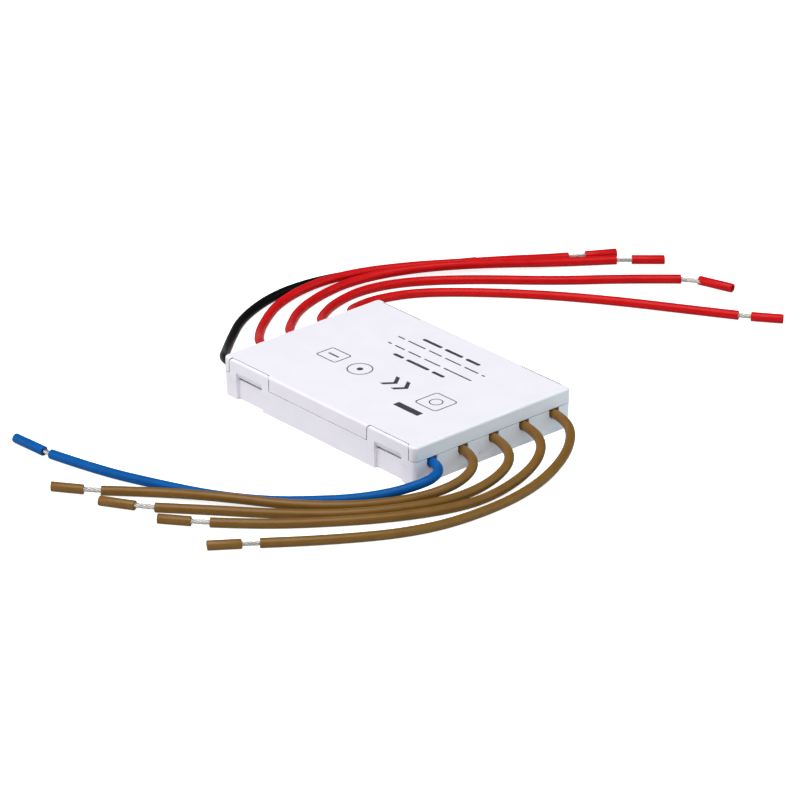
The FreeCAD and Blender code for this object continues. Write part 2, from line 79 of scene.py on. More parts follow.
# Each lead: name, end wall, place across it, route after the wall with X counted from the wall's
# face, how far beyond the insulation the bare strand bends, the tip of the slug and its length
leads = [
    ("blue_wire", 1, 0,
     [(0.7, -14.4, exit_z), (3.2, -15.6, 3.6), (4.0, -18.2, 3.1), (2.7, -21.5, 2.3),
      (0.4, -25.3, 1.4), (-2.8, -30.1, lay), (-6.3, -35.0, lay), (-11.5, -41.2, lay),
      (-19.8, -47.1, lay), (-29.7, -51.5, lay), (-40.2, -55.5, lay), (-50.7, -57.7, lay)],
     0.7, (-59.9, -58.4), 7.5),
    ("brown_wire_1", 1, 1,
     [(1.5, -7.2, exit_z), (5.7, -9.6, 3.3), (6.7, -14.8, 2.0), (4.5, -21.7, lay),
      (0.0, -31.1, lay), (-7.5, -39.9, 1.2), (-16.6, -47.3, 1.85), (-26.7, -53.0, lay),
      (-33.8, -60.0, lay)],
     1.5, (-40.8, -65.4), 5.8),
    ("brown_wire_2", 1, 2,
     [(1.7, 0.0, exit_z), (7.3, -2.4, 3.3), (9.4, -7.8, 2.0), (9.1, -15.4, lay),
      (6.7, -23.8, lay), (1.3, -34.2, lay), (-7.1, -43.4, lay), (-16.1, -51.2, lay),
      (-22.7, -57.2, lay)],
     1.6, (-31.0, -62.6), 6.4),
    ("brown_wire_3", 1, 3,
     [(1.9, 7.2, exit_z), (7.3, 5.0, 3.3), (10.7, -0.8, 2.0), (12.1, -9.6, lay),
      (11.8, -18.4, lay), (6.9, -30.0, lay), (-0.9, -41.6, lay), (-6.9, -48.8, lay),
      (-12.2, -53.8, lay)],
     1.5, (-19.2, -59.5), 5.8),
    ("brown_wire_4", 1, 4,
     [(1.9, 14.4, exit_z), (7.0, 12.2, 3.3), (11.2, 6.4, 2.0), (14.4, -3.0, lay),
      (15.9, -15.0, lay), (14.1, -29.2, lay), (5.9, -43.6, lay), (-0.8, -52.4, lay)],
     1.4, (-6.0, -59.6), 5.8),
    ("black_wire", -1, 0,
     [(-1.7, -14.4, exit_z), (-6.7, -13.1, 3.1), (-10.9, -8.9, 1.7), (-15.6, -3.9, lay),
      (-21.3, 3.4, lay), (-25.2, 13.6, lay), (-25.5, 22.6, lay), (-23.4, 31.0, lay),
      (-20.0, 39.3, lay), (-16.0, 46.1, lay)],
     1.6, (-11.8, 53.7), 6.2),
    ("red_wire_1", -1, 1,
     [(-1.7, -7.2, exit_z), (-6.9, -4.2, 3.3), (-11.1, -1.0, 2.0), (-16.7, 4.6, lay),
      (-22.1, 12.8, lay), (-23.7, 22.0, 1.3), (-21.9, 30.8, 1.8), (-17.3, 41.0, 1.8),
      (-10.5, 51.4, 1.8), (-6.8, 58.4, 1.5), (-4.2, 64.3, lay), (-1.7, 68.3, lay)],
     1.8, (3.0, 76.4), 6.1),
    ("red_wire_2", -1, 2,
     [(-1.7, 0.0, exit_z), (-7.1, 2.9, 3.3), (-11.7, 7.2, 1.8), (-17.3, 14.0, lay),
      (-19.9, 22.2, lay), (-19.9, 30.3, 1.3), (-15.4, 40.3, 2.15), (-8.2, 51.4, 2.3),
      (-1.3, 64.6, lay), (5.4, 74.1, lay)],
     1.4, (11.4, 81.0), 6.2),
    ("red_wire_3", -1, 3,
     [(-1.7, 7.2, exit_z), (-6.5, 10.2, 3.3), (-10.6, 13.7, 1.8), (-15.1, 20.8, lay),
      (-16.3, 28.6, lay), (-13.7, 37.4, lay), (-5.9, 47.8, lay), (4.9, 58.8, lay),
      (13.1, 69.4, lay), (20.0, 76.9, lay)],
     2.6, (29.4, 81.1), 7.0),
    ("red_wire_4", -1, 4,
     [(-1.7, 14.4, exit_z), (-6.5, 17.0, 3.3), (-9.7, 21.6, 1.8), (-11.3, 28.0, lay),
      (-8.7, 35.4, lay), (-1.5, 43.8, lay), (8.5, 53.0, lay), (19.5, 61.0, lay),
      (31.1, 68.2, lay), (38.8, 73.1, lay)],
     1.3, (45.5, 78.1), 6.0),
]


def slot_y(place):
    """Place of a wire slot across the case, counted from 0 to 4."""
    return wire_pitch * (place - 2)


# Materials

# Grain: its fineness, and the shares of it up to which a surface has the one tone and from which
# it has the other
grain_detail = 2.0
tone_until = 0.35
tone_from = 0.65

# Painted shade in joints, slots and slits: how far a face looks round in millimetres and with how
# many rays, and the shares of open sky up to which the painted shade is darkest and from which the
# plastic has its own colour
joint_shade_reach = 0.7
joint_shade_rays = 8
joint_shade_darkest_until = 0.24
joint_shade_clear_from = 0.38

# Glow of the paper
paper_glow = 0.8


def linear(hex_colour):
    """sRGB hex colour to linear light, with full alpha."""
    light = []
    for i in (1, 3, 5):
        value = int(hex_colour[i:i + 2], 16) / 255
        light.append(value / 12.92 if value <= 0.04045 else ((value + 0.055) / 1.055) ** 2.4)
    return light + [1.0]


def add_node(tree, kind, settings=None, links=None):
    """Add a shader node, set its values and link sockets to its inputs."""
    node = tree.nodes.new(kind)
    for name, value in (settings or {}).items():
        if isinstance(name, int) or name in node.inputs:
            node.inputs[name].default_value = value
        else:
            setattr(node, name, value)
    for name, socket in (links or {}).items():
        tree.links.new(socket, node.inputs[name])
    return node


def new_surface(name, settings):
    """A material with a Principled shader, returned with its node tree and shader."""
    material = bpy.data.materials.new(name)
    material.use_nodes = True
    tree = material.node_tree
    shader = tree.nodes["Principled BSDF"]
    for socket, value in settings.items():
        shader.inputs[socket].default_value = value
    return material, tree, shader


def tone_patches(tree, shader, size_mm, dark, light):
    """Colour in soft patches of about the given size, between two near tones."""
    place = add_node(tree, "ShaderNodeTexCoord")
    grain = add_node(tree, "ShaderNodeTexNoise",
                     {"Scale": 1 / mm(size_mm), "Detail": grain_detail},
                     {"Vector": place.outputs["Object"]})
    tone = add_node(tree, "ShaderNodeValToRGB", links={"Fac": grain.outputs["Fac"]})
    darker, lighter = tone.color_ramp.elements
    darker.position = tone_until
    darker.color = linear(dark)
    lighter.position = tone_from
    lighter.color = linear(light)
    tree.links.new(tone.outputs["Color"], shader.inputs["Base Color"])


def raised_grain(tree, shader, size_mm, height_mm, strength):
    """Skin with a grain of about the given size and height."""
    place = add_node(tree, "ShaderNodeTexCoord")
    grain = add_node(tree, "ShaderNodeTexNoise",
                     {"Scale": 1 / mm(size_mm), "Detail": grain_detail},
                     {"Vector": place.outputs["Object"]})
    skin = add_node(tree, "ShaderNodeBump", {"Strength": strength, "Distance": mm(height_mm)},
                    {"Height": grain.outputs["Fac"]})
    tree.links.new(skin.outputs["Normal"], shader.inputs["Normal"])


def deepen_joints(tree, shader):
    """Paint shade into the colour where other faces lie within reach all round: ambient occlusion
    darkens it in narrow joints, slots and slits, where light falls short.
    """
    base = shader.inputs["Base Color"].links[0].from_socket
    open_sky = add_node(tree, "ShaderNodeAmbientOcclusion",
                        {"samples": joint_shade_rays, "Distance": mm(joint_shade_reach)})
    # The ramp turns the occlusion into painted shade, darkest in the narrowest gaps
    painted_shade = add_node(tree, "ShaderNodeValToRGB", links={"Fac": open_sky.outputs["AO"]})
    dark, open_air = painted_shade.color_ramp.elements
    dark.position = joint_shade_darkest_until
    dark.color = linear("#1C1D20")
    open_air.position = joint_shade_clear_from
    open_air.color = linear("#FFFFFF")
    shaded = add_node(tree, "ShaderNodeMixRGB", {"blend_type": "MULTIPLY", "Fac": 1.0},
                      {"Color1": base, "Color2": painted_shade.outputs["Color"]})
    tree.links.new(shaded.outputs["Color"], shader.inputs["Base Color"])


def moulded_abs(name, dark, light):
    """White ABS from a spark-eroded mould: satin, with a fine even grain, drawn coarser to show.
    Shade is painted into its colour in narrow joints, slots and slits, which so read as dark lines."""
    material, tree, shader = new_surface(name, {"Roughness": 0.5, "IOR": 1.54,
                                                "Specular IOR Level": 0.3})
    tone_patches(tree, shader, 6.0, dark, light)
    # Shade painted into the colour in narrow joints, slots and slits
    deepen_joints(tree, shader)
    raised_grain(tree, shader, 0.22, height_mm=0.006, strength=0.35)
    return material


def extruded_pvc(name, dark, light, gloss=0.3):
    """PVC insulation as extruded: deep in colour, with a dull skin that only shows soft lights."""
    material, tree, shader = new_surface(name, {"Roughness": 0.32, "IOR": 1.53,
                                                "Specular IOR Level": gloss})
    tone_patches(tree, shader, 3.0, dark, light)
    raised_grain(tree, shader, 0.5, height_mm=0.01, strength=0.4)
    return material


def tinned_copper(name):
    """Copper wires with a bright tin coat, a little dulled by handling."""
    material, tree, shader = new_surface(name, {"Metallic": 1.0, "Roughness": 0.38})
    tone_patches(tree, shader, 0.4, "#BDB8B0", "#E2DFD9")
    return material


def solder_tin(name):
    """Solder that has flowed and set: bright, with a slightly rippled skin."""
    material, tree, shader = new_surface(name, {"Metallic": 1.0, "Roughness": 0.22})
    tone_patches(tree, shader, 0.5, "#B4B5B6", "#DADBDC")
    raised_grain(tree, shader, 0.35, height_mm=0.02, strength=0.4)
    return material


def solder_mask(name, dark, light):
    """Green solder mask: glossy, with the weave of the glass laminate just showing through."""
    material, tree, shader = new_surface(name, {"Roughness": 0.28, "IOR": 1.5})
    tone_patches(tree, shader, 0.5, dark, light)
    raised_grain(tree, shader, 0.45, height_mm=0.01, strength=0.3)
    return material


def moulded_epoxy(name, dark, light):
    """Moulded component body: matt, faintly speckled by its filler."""
    material, tree, shader = new_surface(name, {"Roughness": 0.55, "IOR": 1.55})
    tone_patches(tree, shader, 0.3, dark, light)
    raised_grain(tree, shader, 0.12, height_mm=0.008, strength=0.5)
    return material


def printing_ink(name, dark, light):
    """Printed ink: matt, slightly uneven where it lies on the grain."""
    material, tree, shader = new_surface(name, {"Roughness": 0.5, "IOR": 1.5})
    tone_patches(tree, shader, 0.25, dark, light)
    return material


def backdrop_paper(name):
    """Matt white paper on a lit table. It throws little light back at the object, so that the
    leads' undersides stay dark: bounced rays find grey paper, and the glow reaches none of them."""
    material, tree, shader = new_surface(name, {"Roughness": 0.9})
    ray = add_node(tree, "ShaderNodeLightPath")
    bounced = add_node(tree, "ShaderNodeMath", {"operation": "MAXIMUM"},
                       {0: ray.outputs["Is Diffuse Ray"], 1: ray.outputs["Is Glossy Ray"]})
    tone = add_node(tree, "ShaderNodeValToRGB", links={"Fac": bounced.outputs["Value"]})
    seen, felt = tone.color_ramp.elements
    seen.color = linear("#FFFFFF")
    felt.color = linear("#C8CBCC")
    glow = add_node(tree, "ShaderNodeMath", {"operation": "MULTIPLY_ADD", 1: -paper_glow,
                                             2: paper_glow}, {0: bounced.outputs["Value"]})
    tree.links.new(tone.outputs["Color"], shader.inputs["Base Color"])
    shader.inputs["Emission Color"].default_value = linear("#FFFFFF")
    tree.links.new(glow.outputs["Value"], shader.inputs["Emission Strength"])
    return material


base_abs = moulded_abs("base_moulded_abs", "#F3EEF5", "#F6F1F8")
cover_abs = moulded_abs("cover_moulded_abs", "#F3EDF4", "#F6F0F7")
wire_pvc = {
    "blue": extruded_pvc("blue_extruded_pvc", "#045399", "#0659A4", gloss=0.09),
    "brown": extruded_pvc("brown_extruded_pvc", "#7A541C", "#825A22"),
    "black": extruded_pvc("black_extruded_pvc", "#020303", "#050607", gloss=0.12),
    "red": extruded_pvc("red_extruded_pvc", "#C9080C", "#D30E13", gloss=0.15),
}
strand_tin = tinned_copper("tinned_copper_strand")
lead_tin = tinned_copper("tinned_component_leads")
joint_tin = solder_tin("reflowed_solder")
board_mask = solder_mask("green_solder_mask", "#14502E", "#1A5E37")
copper_mask = solder_mask("green_mask_on_copper", "#2C7B46", "#36874F")
epoxy_black = moulded_epoxy("black_moulded_epoxy", "#161617", "#1E1E20")
resistor_glaze = moulded_epoxy("resistor_glaze", "#101114", "#191A1E")
capacitor_ceramic = moulded_epoxy("capacitor_ceramic", "#8C6A48", "#9A7855")
print_ink = printing_ink("dark_grey_pad_print", "#39373C", "#454348")
board_ink = printing_ink("white_screen_print", "#D8DAD6", "#E4E6E2")
paper = backdrop_paper("white_backdrop_paper")


# Mesh building: lengths in millimetres and angles in degrees

# Easing of the shells: its radius and steps, the angle from which an edge is eased, the angle
# within which faces are one flat wall, and how much the large faces count in the shading
edge_radius = 0.06
edge_steps = 2
edge_angle = 25
flat_angle = 1
flat_wall_weight = 50
weld_reach = 0.001

# Steps along a smooth line and round a corner, step along a strand, and sides round its wires
curve_steps = 16
corner_steps = 6
strand_step = 0.15
strand_sides = 10

# Slugs: sides, radius of the rims and how far the rims' middle is cut back, as a share of it
slug_sides = 48
slug_rim = 0.06
slug_rim_cut = 0.3

# Angles from which an edge is shaded sharp, on square and on round pieces
crease_angle = 35
round_crease_angle = 60


def add_object(name, data):
    """A new object in the scene."""
    thing = bpy.data.objects.new(name, data)
    bpy.context.scene.collection.objects.link(thing)
    return thing


def mesh_from(name, bm):
    """Built faces as a mesh."""
    mesh = bpy.data.meshes.new(name)
    bm.to_mesh(mesh)
    bm.free()
    return mesh


def dress(piece, material):
    """Give a piece one material."""
    piece.data.materials.clear()
    piece.data.materials.append(material)


def mesh_piece(name, bm, material, body, sharp_from=crease_angle):
    """Turn built faces into a piece that rides on a body."""
    mesh = mesh_from(name, bm)
    piece = add_object(name, mesh)
    dress(piece, material)
    mesh.shade_smooth()
    mesh.set_sharp_from_angle(angle=math.radians(sharp_from))
    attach(piece, body)
    return piece


def eased_shell(node, name, material, body):
    """A moulding with its sharp edges eased, as a mould gives them, in place of the CAD node.
    Flat walls keep one shade up to their edges, because the larger faces decide the normals."""
    bm = bmesh.new()
    bm.from_mesh(nodes[node].data)
    bmesh.ops.remove_doubles(bm, verts=bm.verts, dist=mm(weld_reach))
    bmesh.ops.dissolve_limit(bm, angle_limit=math.radians(flat_angle), verts=bm.verts,
                             edges=bm.edges)
    mesh = mesh_from(name, bm)
    mesh.shade_smooth()
    piece = add_object(name, mesh)
    easing = piece.modifiers.new("easing", "BEVEL")
    easing.width = mm(edge_radius)
    easing.segments = edge_steps
    easing.limit_method = "ANGLE"
    easing.angle_limit = math.radians(edge_angle)
    easing.use_clamp_overlap = False
    shading = piece.modifiers.new("flat_walls", "WEIGHTED_NORMAL")
    shading.mode = "FACE_AREA"
    shading.weight = flat_wall_weight
    graph = bpy.context.evaluated_depsgraph_get()
    eased = bpy.data.meshes.new_from_object(piece.evaluated_get(graph))
    piece.modifiers.clear()
    piece.data = eased
    dress(piece, material)
    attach(piece, body)
    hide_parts(node)
    return piece


def nurbs_line(name, points):
    """A smooth curve object with the points as its control points."""
    curve = bpy.data.curves.new(name, "CURVE")
    curve.dimensions = "3D"
    curve.resolution_u = curve_steps
    spline = curve.splines.new("NURBS")
    spline.points.add(len(points) - 1)
    for control, place in zip(spline.points, points):
        control.co = (*place, 1.0)
    spline.order_u = 3
    spline.use_endpoint_u = True
    return add_object(name, curve)


def even_line(points, step):
    """Evenly spaced places along the smooth line that the control points give."""
    guide = nurbs_line("guide", points)
    mesh = bpy.data.meshes.new_from_object(guide)
    corners = [v.co.copy() for v in mesh.vertices]
    bpy.data.objects.remove(guide)
    bpy.data.meshes.remove(mesh)
    lengths = [0.0]
    for a, b in zip(corners, corners[1:]):
        lengths.append(lengths[-1] + (b - a).length)
    count = max(2, round(lengths[-1] / step))
    line = []
    i = 0
    for k in range(count + 1):
        goal = lengths[-1] * k / count
        while i < len(corners) - 2 and lengths[i + 1] < goal:
            i += 1
        share = (goal - lengths[i]) / (lengths[i + 1] - lengths[i])
        line.append(corners[i].lerp(corners[i + 1], share))
    return line


def angles_round(sides):
    """Even angles round a circle."""
    return [2 * math.pi * j / sides for j in range(sides)]


def add_walls(bm, low, high):
    """Join two rings or levels of an outline."""
    for j in range(len(low)):
        k = (j + 1) % len(low)
        bm.faces.new((low[j], low[k], high[k], high[j]))


def add_sweep(bm, line, radius, sides, shift=None):
    """Add a closed round wire along a line, shifted sideways by shift(k) as it goes."""
    side = (line[1] - line[0]).orthogonal().normalized()
    rings = []
    for k, place in enumerate(line):
        ahead = (line[min(k + 1, len(line) - 1)] - line[max(k - 1, 0)]).normalized()
        side = (side - ahead * side.dot(ahead)).normalized()
        across = ahead.cross(side)
        along_side, along_across = shift(k) if shift else (0.0, 0.0)
        centre = place + side * along_side + across * along_across
        rings.append([bm.verts.new(centre + (side * math.cos(angle) + across * math.sin(angle))
                                   * radius) for angle in angles_round(sides)])
    for a, b in zip(rings, rings[1:]):
        add_walls(bm, a, b)
    bm.faces.new(rings[0][::-1])
    bm.faces.new(rings[-1])


def add_strand(bm, points):
    """Add a stranded wire along control points: six wires twisted round a seventh, so that
    three of them fit across it."""
    step = mm(strand_step)
    line = even_line(points, step)
    wire_radius = mm(strand_diameter) / 6
    add_sweep(bm, line, wire_radius, strand_sides)
    for n in range(strand_wires):
        def shift(k, n=n):
            turn = 2 * math.pi * (n / strand_wires + k * step / mm(strand_lay))
            return 2 * wire_radius * math.cos(turn), 2 * wire_radius * math.sin(turn)
        add_sweep(bm, line, wire_radius, strand_sides, shift)


def add_slug(bm, start, axis, length, slant):
    """Add a cut sleeve of insulation: a bore, slightly rounded rims and ends cut at a slant."""
    outer = mm(wire_diameter / 2)
    bore = mm(slug_bore / 2)
    rim = mm(slug_rim)
    cut = rim * slug_rim_cut
    profile = [(0, bore), (0, outer - rim), (cut, outer - cut), (rim, outer),
               (length - rim, outer), (length - cut, outer - cut),
               (length, outer - rim), (length, bore)]
    side = axis.cross(Vector((0, 0, 1))).normalized()
    upright = side.cross(axis)
    rings = []
    for along, radius in profile:
        ring = []
        for angle in angles_round(slug_sides):
            lean = slant * radius * math.cos(angle)
            place = start + axis * (along + lean)
            ring.append(bm.verts.new(place + (side * math.cos(angle) + upright * math.sin(angle))
                                     * radius))
        rings.append(ring)
    rings.append(rings[0])
    for a, b in zip(rings, rings[1:]):
        add_walls(bm, a, b)


def rounded_outline(x, y, width, height, radius, inset=0.0):
    """Corners of a rounded rectangle round a middle, drawn in by the inset."""
    radius -= inset
    corners = []
    for quarter, (sx, sy) in enumerate(((1, 1), (-1, 1), (-1, -1), (1, -1))):
        middle_x = x + sx * (width / 2 - inset - radius)
        middle_y = y + sy * (height / 2 - inset - radius)
        for step in range(corner_steps + 1):
            angle = math.pi / 2 * (quarter + step / corner_steps)
            corners.append((middle_x + radius * math.cos(angle),
                            middle_y + radius * math.sin(angle)))
    return corners


def line_outline(points, width):
    """Corners of a line of one width through points, with mitred turns."""
    places = [Vector(point) for point in points]
    runs = [(b - a).normalized() for a, b in zip(places, places[1:])]
    left = []
    right = []
    for k, place in enumerate(places):
        before = runs[max(k - 1, 0)]
        after = runs[min(k, len(runs) - 1)]
        mitre = Vector((-before.y - after.y, before.x + after.x)).normalized()
        mitre *= width / 2 / mitre.dot(Vector((-before.y, before.x)))
        left.append(tuple(place + mitre))
        right.append(tuple(place - mitre))
    return right + left[::-1]


def at_levels(bm, outline, levels):
    """New corners of an outline at its lower and its upper level."""
    return [[bm.verts.new(spot(x, y, z)) for x, y in outline] for z in levels]


def add_slab(bm, outline, levels):
    """A closed slab over an outline."""
    low, high = at_levels(bm, outline, levels)
    bm.faces.new(high)
    bm.faces.new(low[::-1])
    add_walls(bm, low, high)


def add_band(bm, outer, inner, levels):
    """A closed slab between two outlines."""
    outer_low, outer_high = at_levels(bm, outer, levels)
    inner_low, inner_high = at_levels(bm, inner, levels)
    add_walls(bm, outer_low, outer_high)
    add_walls(bm, inner_high, inner_low)
    add_walls(bm, outer_high, inner_high)
    add_walls(bm, inner_low, outer_low)


def add_block(bm, x0, x1, y0, y1, levels):
    """A closed block with square corners."""
    add_slab(bm, [(x0, y0), (x1, y0), (x1, y1), (x0, y1)], levels)


# Case

base_piece = eased_shell("base_shell", "case_base", base_abs, "housing")
cover_piece = eased_shell("cover", "case_cover", cover_abs, "cover")


# Print on the cover: plain bars and frames, in rows as such a cover carries them

# How far it reaches into the cover and stands out, gap between bars and width of the frames' lines
print_sunk = 0.006
print_rise = 0.012
print_levels = (case_height - print_sunk, case_height + print_rise)
bar_gap = 0.9
print_line = 0.22
print_rows = [
    # height of the bars, place of the row, where it begins and how long its bars are
    (0.74, 12.6, -6.8, (5.0, 4.6, 3.6)),
    (0.34, 10.1, -10.7, (1.8, 4.6, 3.4, 4.2, 3.6, 0.8)),
    (0.34, 7.1, -10.1, (1.0, 2.6, 3.4, 4.2, 7.2)),
    (0.74, 4.55, -5.7, (2.6, 5.8, 3.1)),
]
print_frames = [
    # middle, width, height and corner radius of each outlined mark
    (-12.4, -3.8, 5.2, 4.2, 0.5),
    (-4.9, -4.2, 4.8, 4.8, 2.4),
    (14.2, -3.3, 5.6, 5.6, 0.8),
    (14.2, -3.3, 2.6, 2.6, 1.3),
]
print_solids = [
    # the same for each filled mark
    (-12.4, -3.8, 2.8, 0.4, 0.2),
    (-4.9, -4.2, 1.2, 1.2, 0.6),
    (13.0, -8.8, 6.3, 1.45, 0.1),
]

# Arrow heads: places, half their height, reach and thickness along the case
chevron_places = [(2.9, -3.4), (5.7, -3.4)]
chevron_half = 2.0
chevron_reach = 1.5
chevron_thick = 0.95


def chevron_outline(x, y):
    """Corners of an arrow head that points along the case."""
    back = x - chevron_reach / 2
    tip = x + chevron_reach / 2
    half = chevron_thick / 2
    return [(back + half, y + chevron_half), (back - half, y + chevron_half), (tip - half, y),
            (back - half, y - chevron_half), (back + half, y - chevron_half), (tip + half, y)]


def cover_print():
    """The whole print, one piece on the cover."""
    bm = bmesh.new()
    for height, y, x, lengths in print_rows:
        for length in lengths:
            bar = rounded_outline(x + length / 2, y, length, height, height / 2)
            add_slab(bm, bar, print_levels)
            x += length + bar_gap
    for mark in print_frames:
        inner = rounded_outline(*mark, inset=print_line)
        add_band(bm, rounded_outline(*mark), inner, print_levels)
    for mark in print_solids:
        add_slab(bm, rounded_outline(*mark), print_levels)
    for x, y in chevron_places:
        add_slab(bm, chevron_outline(x, y), print_levels)
    bmesh.ops.remove_doubles(bm, verts=bm.verts, dist=mm(weld_reach / 2))
    return mesh_piece("cover_print", bm, print_ink, "cover")


cover_print()


# Leads

# Fineness of the cords, and the step along them in which their length is taken
cord_rings = 8
length_step = 0.5

# Slant of the slugs' cut ends: the most there is, and how it changes from one slug to the next
slant_most = 0.12
slant_turn = 2.1


def lead_places(side, place, route, bare_run, tip_xy, slug_length):
    """Points of a lead in metres: its route, the strand's bend, the slug's start and the tip."""
    wall = side * case_length / 2
    points = [spot(side * wire_start, slot_y(place), wire_exit_height)]
    points += [spot(wall + x, across, z) for x, across, z in route]
    last = (points[-1] - points[-2]).normalized()
    bend = points[-1] + last * mm(bare_run)
    tip = spot(wall + tip_xy[0], tip_xy[1], lay)
    axis = (tip - bend).normalized()
    return points, last, bend, tip - axis * mm(slug_length), tip, axis


def strand_piece(name, side, y, points, last, bend, tip, axis):
    """The tinned strand where it shows: the tail on its pad and the bare end in the slug."""
    bm = bmesh.new()
    add_strand(bm, [points[-1] - last * mm(strand_seat), bend, tip - axis * mm(slug_end_cover)])
    add_strand(bm, [spot(side * x, y, wire_exit_height)
                    for x in (tail_end, (tail_end + tail_seat_end) / 2, tail_seat_end)])
    piece = mesh_piece(name + "_strand_wires", bm, strand_tin, "housing", round_crease_angle)
    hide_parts(name + "_strand")
    return piece


def slug_piece(name, start, axis, length, slant):
    """The loose sleeve of insulation on the strand's tip."""
    bm = bmesh.new()
    add_slug(bm, start, axis, length, slant)
    colour = name.split("_")[0]
    piece = mesh_piece(name + "_cut_sleeve", bm, wire_pvc[colour], name + "_end_slug")
    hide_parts(name + "_end_slug")
    return piece


def insulation_piece(name, points):
    """The lead's insulation, one smooth round cord."""
    colour = name.split("_")[0]
    piece = nurbs_line(name + "_pvc_sheath", points)
    piece.data.bevel_depth = mm(wire_diameter / 2)
    piece.data.bevel_resolution = cord_rings
    piece.data.use_fill_caps = True
    dress(piece, wire_pvc[colour])
    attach(piece, "housing")
    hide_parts(name + "_insulation")
    return piece


def sheath_length(points):
    """Length of the smooth line through the control points."""
    line = even_line(points, mm(length_step))
    return sum((b - a).length for a, b in zip(line, line[1:]))


for number, (name, side, place, route, bare_run, tip_xy, slug_length) in enumerate(leads):
    points, last, bend, slug_start, tip, axis = lead_places(side, place, route, bare_run, tip_xy,
                                                            slug_length)
    y = slot_y(place)
    sheath = insulation_piece(name, points)
    strand = strand_piece(name, side, y, points, last, bend, tip, axis)
    slant = slant_most * math.sin(number * slant_turn)
    slug = slug_piece(name, slug_start, axis, mm(slug_length), slant)
    sheath_length(points)


# Board and components

# The board's parts are the CAD nodes. This adds the chips' metal ends with their solder, the
# diodes' tabs, copper runs and pads, the solder cones at the wires and the white print.

# Top of the board, its four rows, which lie between the wire slots, and the wire pads' place
board_top = wire_exit_height - strand_diameter / 2 * math.cos(math.pi / 6)
row_places = [wire_pitch * (number - 1.5) for number in range(4)]
pad_x = 22.0

# Optocouplers: gap under them, height and places of their feet
coupler_clearance = 0.15
coupler_height = 2.2
coupler_top = board_top + coupler_clearance + coupler_height
foot_x = 4.55
foot_y = 1.27

# Diodes: place along the row, half their length, height, and their tabs: how far they stand out
# and reach in, width and thickness
diode_x = 7.6
diode_half = 2.1
diode_height = 2.1
diode_top = board_top + diode_height
tab_reach = 0.4
tab_inside = 0.3
tab_width = 1.4
tab_thickness = 0.22

chips = [
    # place along the row, shift across it, length, width and height
    (12.9, 0.0, 5.0, 2.5, 0.65),
    (19.1, 0.0, 5.0, 2.5, 0.65),
    (-8.0, 0.0, 3.2, 2.5, 1.7),
    (-15.6, -1.0, 3.2, 1.6, 0.6),
    (-12.0, 1.0, 3.2, 1.6, 0.6),
]

# Chips' end caps: length and thickness of the metal, and the solder drawn up against it: reach,
# share of the chip's height, and the middle of its hollow as shares of both
chip_end = 0.45
plating = 0.012
fillet_reach = 0.35
fillet_rise = 0.75
fillet_hollow = (0.35, 0.3)

# Thin layers: how far each stands out, and how far all reach into what carries them
run_rise = 0.035
pad_rise = 0.05
ink_rise = 0.02
mark_rise = 0.012
sunk = 0.01
run_levels = (board_top - sunk, board_top + run_rise)
pad_levels = (board_top - sunk, board_top + pad_rise)
ink_levels = (board_top - sunk, board_top + ink_rise)
coupler_mark_levels = (coupler_top - sunk, coupler_top + mark_rise)
diode_mark_levels = (diode_top - sunk, diode_top + mark_rise)

# Pads: length, width and corner radius. Rings round the holes: outer radius and bore's radius
wire_pad = (2.3, 2.3, 0.4)
foot_pad = (1.1, 1.0, 0.2)
via_radius = 0.45
via_bore = 0.2

# Copper runs and rings of one row: places along it and across it
run_width = 0.45
row_runs = [
    [(pad_x, 2.9), (pad_x, 0.0)],
    [(16.7, 0.0), (15.3, 0.0)],
    [(10.5, 0.0), (9.6, 0.0)],
    [(5.6, 0.3), (5.1, 0.8), (5.1, foot_y), (4.5, foot_y)],
    [(4.5, -foot_y), (5.2, -foot_y), (6.6, -2.4)],
    [(-4.5, foot_y), (-5.6, foot_y), (-6.5, 0.6)],
    [(-4.5, -foot_y), (-5.2, -foot_y), (-6.4, -2.4)],
    [(-9.5, 0.5), (-10.4, 1.0)],
    [(-13.8, 1.3), (-13.8, -1.3)],
    [(-17.1, -1.0), (-19.2, -1.0), (-20.4, 0.2), (-20.4, 2.9), (-21.2, 3.6)],
]
row_vias = [(6.6, -2.4), (-6.4, -2.4)]

# The common lead's copper, one short run at each end of the board
common_y = slot_y(0)
common_outer = 21.2
common_inner = 16.8
common_runs = [[(side * common_outer, common_y), (side * common_inner, common_y)]
               for side in (-1, 1)]
common_vias = [(side * common_inner, common_y) for side in (-1, 1)]

# Solder cones: their section, size of the foot, cover over the strand, and sides
solder_cone = [
    # share of the foot's radius and share of the height, from the foot up
    (1.0, 0.0), (0.9, 0.1), (0.8, 0.28), (0.7, 0.52), (0.55, 0.75), (0.33, 0.92), (0.12, 0.99),
]
cone_length = 1.95
cone_width = 1.7
cone_cover = 0.12
cone_rise = wire_exit_height + strand_diameter / 2 + cone_cover - board_top
cone_sides = 28

# White marks: lines at the optocouplers' ends, dots on them and bands on the diodes
coupler_line_x = 5.55
coupler_line_width = 0.15
coupler_line_length = 1.3
coupler_line_radius = 0.07
coupler_dot = (2.3, 1.5)
coupler_dot_width = 0.6
band_outer = 1.6
band_inner = 1.1
band_half = 0.85


def add_fillet(bm, x, way, y, width, rise):
    """Solder drawn up against an upright end that faces the given way along the row."""
    hollow = (fillet_hollow[0] * fillet_reach, fillet_hollow[1] * rise)
    profile = [(0.0, 0.0), (fillet_reach, 0.0), hollow, (0.0, rise)]
    sides = []
    for end in (-1, 1):
        sides.append([bm.verts.new(spot(x + way * out, y + end * width / 2, board_top + up))
                      for out, up in profile])
    bm.faces.new(sides[0])
    bm.faces.new(sides[1][::-1])
    add_walls(bm, sides[1], sides[0])


